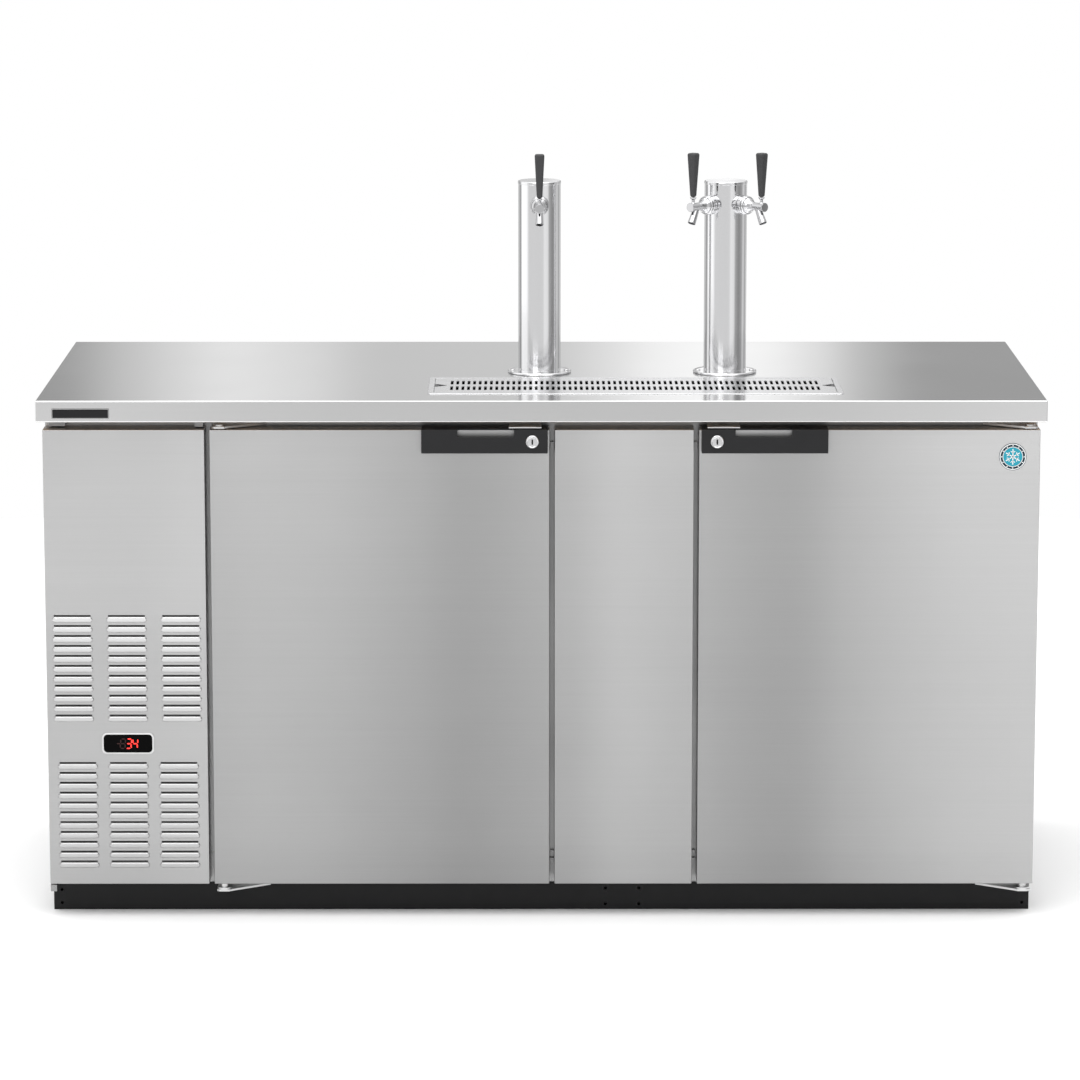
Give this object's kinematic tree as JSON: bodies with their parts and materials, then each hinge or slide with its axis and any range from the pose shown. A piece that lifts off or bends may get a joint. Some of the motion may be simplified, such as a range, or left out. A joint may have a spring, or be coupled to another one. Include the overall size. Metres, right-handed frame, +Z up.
{
  "type": "kegerator",
  "caption": "Two-door stainless direct-draw keg refrigerator with a louvred machine compartment, drip tray, tap towers and black plinth.",
  "frame": {"origin": "on the floor under the middle of the worktop", "axes": "+Z up, +X along the worktop towards the double tower, -Y out of the doors towards the user"},
  "size_m": [1.765, 0.7644, 1.335],
  "materials": {
    "badge": "round plastic emblem",
    "bezel": "silver plastic bezel",
    "board": "marine plywood stiffener",
    "brushed_steel": "horizontally brushed stainless sheet",
    "chrome": "chromed brass",
    "copper": "copper tube",
    "dark_plastic": "black moulded plastic",
    "fins": "aluminium fins",
    "foam": "rigid polyurethane foam",
    "galvanised": "galvanised sheet",
    "gasket": "magnetic vinyl gasket",
    "handle_plastic": "black powder-coated pull",
    "lens": "black display window",
    "liner": "stucco-free aluminium liner, satin",
    "nameplate": "blank black plate with a silver rim",
    "pale_plastic": "pale tubing",
    "plinth_paint": "satin black powder coat",
    "polished_steel": "polished stainless",
    "rubber": "black rubber",
    "tap_handle_plastic": "moulded dark grey plastic",
    "tray_steel": "pressed stainless, satin",
    "worktop_steel": "fine-brushed stainless worktop",
    "zinc": "bright zinc-plated steel"
  },
  "bodies": {
    "cabinet": {"plinth_frame": "plinth_paint", "base_pan": "galvanised", "side_panel_left": "brushed_steel", "side_panel_right": "brushed_steel", "back_panel": "galvanised", "insulation_foam": "foam", "interior_liner": "liner", "face_frame": "brushed_steel", "centre_panel": "brushed_steel", "louvre_panel": "brushed_steel", "display_bezel": "bezel", "display_lens": "lens", "control_box": "dark_plastic", "worktop_skin": "worktop_steel", "worktop_core": "board", "drip_tray": "tray_steel", "drip_drain_tube": "pale_plastic", "tower_columns": "polished_steel", "tower_caps": "polished_steel", "tower_flanges": "polished_steel", "tower_screws": "polished_steel", "beer_tubes": "pale_plastic", "tap_shanks": "chrome", "faucet_bodies": "chrome", "hinge_brackets": "zinc", "lock_strikes": "zinc", "compressor": "plinth_paint", "condenser_coil": "fins", "fan_shroud": "plinth_paint", "fan_motors": "dark_plastic", "refrigerant_lines": "copper", "evaporator_coil": "fins", "evaporator_housing": "liner", "rear_grommets": "rubber", "nameplate": "nameplate"},
    "left_door": {"left_door_skin": "brushed_steel", "left_door_core": "foam", "left_door_liner": "liner", "left_door_gasket": "gasket", "left_door_handle": "handle_plastic"},
    "left_lock": {"left_lock_cylinder": "chrome"},
    "right_door": {"right_door_skin": "brushed_steel", "right_door_core": "foam", "right_door_liner": "liner", "right_door_gasket": "gasket", "right_door_handle": "handle_plastic", "door_badge": "badge"},
    "right_lock": {"right_lock_cylinder": "chrome"},
    "grate": {"drip_grate": "tray_steel"},
    "condenser_fan": {"condenser_fan_blade": "dark_plastic"},
    "evaporator_fan": {"evaporator_fan_blade": "dark_plastic"},
    "tap_1": {"tap_lever_1": "chrome", "tap_handle_1": "tap_handle_plastic"},
    "valve_1": {"valve_shaft_1": "chrome"},
    "tap_2": {"tap_lever_2": "chrome", "tap_handle_2": "tap_handle_plastic"},
    "valve_2": {"valve_shaft_2": "chrome"},
    "tap_3": {"tap_lever_3": "chrome", "tap_handle_3": "tap_handle_plastic"},
    "valve_3": {"valve_shaft_3": "chrome"}
  },
  "joints": [
    {"name": "left_door_hinge", "type": "hinge", "parent": "cabinet", "child": "left_door", "pos_m": [-0.564, -0.347, 0.45], "axis": [0, 0, -1], "range_deg": [0, 110]},
    {"name": "right_door_hinge", "type": "hinge", "parent": "cabinet", "child": "right_door", "pos_m": [0.856, -0.347, 0.45], "axis": [0, 0, 1], "range_deg": [0, 110]},
    {"name": "left_lock_turn", "type": "hinge", "parent": "left_door", "child": "left_lock", "pos_m": [-0.016, -0.372, 0.857], "axis": [0, 1, 0], "range_deg": [0, 90]},
    {"name": "right_lock_turn", "type": "hinge", "parent": "right_door", "child": "right_lock", "pos_m": [0.307, -0.372, 0.857], "axis": [0, -1, 0], "range_deg": [0, 90]},
    {"name": "grate_lift", "type": "slide", "parent": "cabinet", "child": "grate", "axis": [0, 0, 1], "range_m": [0, 0.12]},
    {"name": "condenser_fan_spin", "type": "hinge", "parent": "cabinet", "child": "condenser_fan", "pos_m": [-0.731, -0.236, 0.205], "axis": [0, 1, 0], "continuous": true},
    {"name": "evaporator_fan_spin", "type": "hinge", "parent": "cabinet", "child": "evaporator_fan", "pos_m": [-0.443, 0.05, 0.67], "axis": [1, 0, 0], "continuous": true},
    {"name": "tap_1_pull", "type": "hinge", "parent": "cabinet", "child": "tap_1", "pos_m": [-0.003, -0.121, 1.243], "axis": [1, 0, 0], "range_deg": [0, 40]},
    {"name": "valve_1_slide", "type": "slide", "parent": "cabinet", "child": "valve_1", "axis": [0, -1, 0], "range_m": [-0.0045, 0]},
    {"name": "tap_2_pull", "type": "hinge", "parent": "cabinet", "child": "tap_2", "pos_m": [0.27193, -0.09877, 1.243], "axis": [0.766, -0.6428, 0], "range_deg": [0, 40]},
    {"name": "valve_2_slide", "type": "slide", "parent": "cabinet", "child": "valve_2", "axis": [-0.6428, -0.766, 0], "range_m": [-0.0045, 0]},
    {"name": "tap_3_pull", "type": "hinge", "parent": "cabinet", "child": "tap_3", "pos_m": [0.39406, -0.09877, 1.243], "axis": [0.766, 0.6428, 0], "range_deg": [0, 40]},
    {"name": "valve_3_slide", "type": "slide", "parent": "cabinet", "child": "valve_3", "axis": [0.6428, -0.766, 0], "range_m": [-0.0045, 0]}
  ],
  "couplings": [
    {"joint": "valve_1_slide", "follows": "tap_1_pull", "m_per_rad": -0.0057},
    {"joint": "valve_2_slide", "follows": "tap_2_pull", "m_per_rad": -0.0057},
    {"joint": "valve_3_slide", "follows": "tap_3_pull", "m_per_rad": -0.0057}
  ]
}
